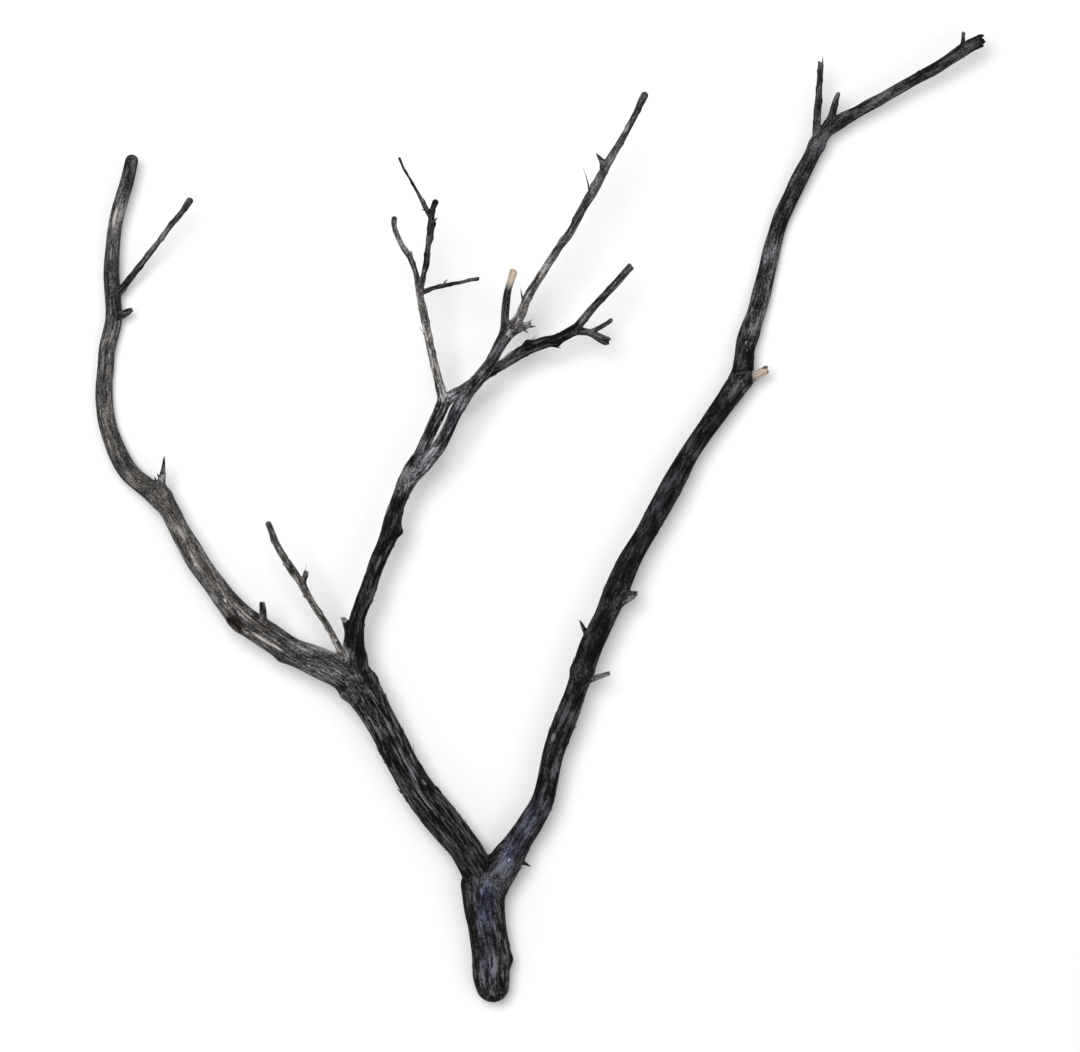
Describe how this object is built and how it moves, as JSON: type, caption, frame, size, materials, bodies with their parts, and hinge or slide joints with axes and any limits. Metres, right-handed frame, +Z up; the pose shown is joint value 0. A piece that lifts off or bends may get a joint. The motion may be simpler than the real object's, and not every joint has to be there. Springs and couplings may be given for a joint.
{
  "type": "fallen tree branch",
  "caption": "Forked dead tree branch lying on the ground, weathered nearly black, with a bare grey limb, crossing boughs, broken twigs and a torn pale stub.",
  "frame": {"origin": "on the ground, below the middle of the branch's bounding box", "axes": "+Y from the butt to the tips, +X to the right seen from above, +Z up; the branch lies in the XY plane"},
  "size_m": [0.9714, 1.0586, 0.1139],
  "materials": {
    "dark_bark": "nearly black weathered bark with a bluish bloom at the butt, long furrows and small lighter scuffs, matt",
    "weathered_wood": "barkless silver-grey to brown wood with fine long grain, dark checks and a few pale worn patches, matt",
    "twig_bark": "grey-brown twig bark, mottled and flaking over darker wood, matt",
    "fresh_wood": "fresh broken or sawn wood, pale pinkish tan with fine fibres and a dark weathered end, matt"
  },
  "bodies": {
    "root": {"butt": "dark_bark", "left_stem": "dark_bark", "left_limb": "weathered_wood", "left_low_stub": "weathered_wood", "left_leader": "weathered_wood", "left_snag": "weathered_wood", "left_top_stub": "weathered_wood", "left_twig": "twig_bark", "middle_stem": "dark_bark", "middle_base_stub": "dark_bark", "low_twig": "twig_bark", "low_twig_stub": "twig_bark", "middle_left": "dark_bark", "middle_right": "dark_bark", "long_twig": "twig_bark", "long_twig_hook": "twig_bark", "cut_stub": "fresh_wood", "fork_snag": "dark_bark", "crossing_bough": "dark_bark", "crossing_tip": "twig_bark", "crossing_spur": "dark_bark", "spur_twig": "twig_bark", "centre_twig": "twig_bark", "centre_spur": "twig_bark", "centre_tip": "twig_bark", "centre_side_twig": "twig_bark", "right_stem": "dark_bark", "right_bough": "dark_bark", "right_thorn": "dark_bark", "right_low_stub": "dark_bark", "right_mid_thorn": "dark_bark", "right_knob": "dark_bark", "right_limb": "dark_bark", "pale_stub": "fresh_wood", "right_tip": "dark_bark", "upright_twig": "twig_bark", "upright_stub": "twig_bark", "tip_stub": "twig_bark"}
  },
  "joints": []
}
